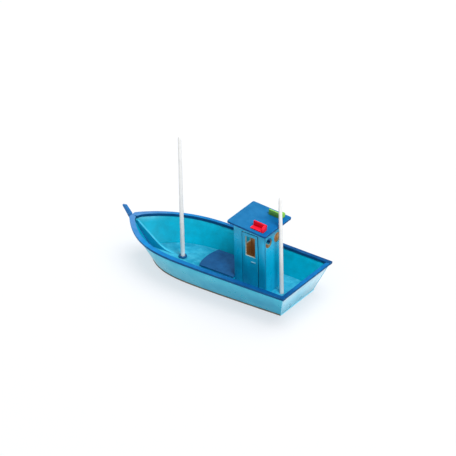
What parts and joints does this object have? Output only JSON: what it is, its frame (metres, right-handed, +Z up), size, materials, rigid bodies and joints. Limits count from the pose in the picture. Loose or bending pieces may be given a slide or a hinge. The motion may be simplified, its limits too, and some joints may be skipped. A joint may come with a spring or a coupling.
{
  "type": "toy boat",
  "caption": "Painted wooden toy fishing boat: open flat-bottomed hull with rails, wheelhouse with doors, coach roof, side-light boards and lift-out masts.",
  "frame": {"origin": "under the middle of the boat's length and beam, on the surface it stands on", "axes": "+X towards the bow, +Y to port, +Z up"},
  "size_m": [0.25, 0.0972, 0.1597],
  "materials": {
    "bare_wood": "unpainted plywood, smoothed",
    "hull_blue": "light teal-blue paint, satin, brush marks",
    "transom_blue": "pale blue paint, satin",
    "deck_blue": "pale cyan paint, satin",
    "inner_blue": "bright cyan paint, satin, brush marks",
    "rail_blue": "medium blue paint, semi-gloss, worn along the edges",
    "roof_blue": "medium blue paint, satin",
    "coach_blue": "dark blue paint, satin, faint grain",
    "collar_blue": "dark blue paint, satin",
    "house_blue": "cyan-blue paint outside, bare wood inside",
    "handle_paint": "very pale blue paint",
    "mast_white": "white paint, satin",
    "port_red": "red paint, semi-gloss",
    "starboard_green": "green paint, satin",
    "brass": "drawn wire"
  },
  "bodies": {
    "hull": {"bottom_sheet": "bare_wood", "deck_board": "deck_blue", "port_side_plank": "hull_blue", "starboard_side_plank": "hull_blue", "transom_board": "transom_blue", "stem_post": "rail_blue", "stem_knee": "inner_blue", "port_rail": "rail_blue", "starboard_rail": "rail_blue", "transom_rail": "rail_blue", "coach_roof_panel": "coach_blue", "coach_port_coaming": "inner_blue", "coach_starboard_coaming": "inner_blue", "coach_front_coaming": "inner_blue", "wheelhouse_port_wall": "house_blue", "wheelhouse_starboard_wall": "house_blue", "wheelhouse_front_wall": "house_blue", "wheelhouse_rear_wall": "house_blue", "wheelhouse_roof": "roof_blue", "port_light_screen": "port_red", "port_light_base": "port_red", "port_light_chock": "port_red", "starboard_light_screen": "starboard_green", "starboard_light_base": "starboard_green", "starboard_light_chock": "starboard_green", "foremast_collar": "collar_blue"},
    "port_door": {"port_door": "house_blue", "port_door_handle": "handle_paint", "port_door_lower_pin": "brass", "port_door_upper_pin": "brass"},
    "starboard_door": {"starboard_door": "house_blue", "starboard_door_handle": "handle_paint", "starboard_door_lower_pin": "brass", "starboard_door_upper_pin": "brass"},
    "foremast": {"foremast": "mast_white"},
    "aft_mast": {"aft_mast": "mast_white"}
  },
  "joints": [
    {"name": "port_door_swing", "type": "hinge", "parent": "hull", "child": "port_door", "pos_m": [-0.051, 0.0151, 0.045], "axis": [0, 0, -1], "range_deg": [0, 90]},
    {"name": "starboard_door_swing", "type": "hinge", "parent": "hull", "child": "starboard_door", "pos_m": [-0.051, -0.0151, 0.045], "axis": [0, 0, 1], "range_deg": [0, 90]},
    {"name": "foremast_lift", "type": "slide", "parent": "hull", "child": "foremast", "axis": [0, 0, 1], "range_m": [0, 0.012]},
    {"name": "aft_mast_lift", "type": "slide", "parent": "hull", "child": "aft_mast", "axis": [0, 0, 1], "range_m": [0, 0.012]}
  ]
}
